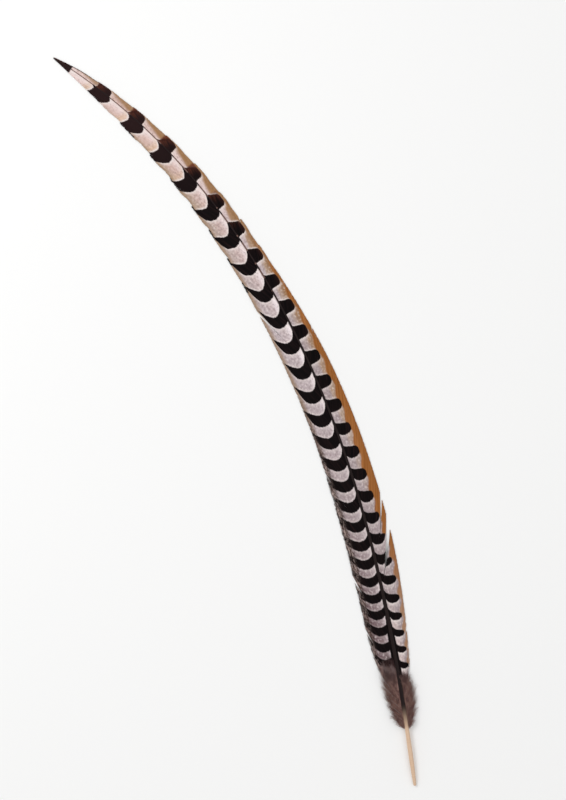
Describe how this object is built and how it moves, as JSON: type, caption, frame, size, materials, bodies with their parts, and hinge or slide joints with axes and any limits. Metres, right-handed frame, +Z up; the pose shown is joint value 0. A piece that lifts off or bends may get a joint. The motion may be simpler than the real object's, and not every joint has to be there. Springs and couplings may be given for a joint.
{
  "type": "pheasant tail feather",
  "caption": "Long curved tail feather with a tapered shaft, dark bars across both vanes, a tan margin, a downy base and a bare quill, lying upper side up.",
  "frame": {"origin": "middle of the feather's bounding box, on the surface it rests on", "axes": "+Y from the quill's end towards the tip's end of the box, +X to the right seen from above with the tip up, +Z up, out of the feather's upper side"},
  "size_m": [0.375, 0.7516, 0.0087],
  "materials": {
    "barred_vane": "matt barbs: pinkish white and buff between near-black bars, orange-tan along the right margin",
    "shaft": "smooth horn: near black between the vanes, pale tan and half glossy at the quill",
    "down": "soft grey-brown down"
  },
  "bodies": {
    "root": {"tail_feather": "barred_vane"}
  },
  "joints": []
}
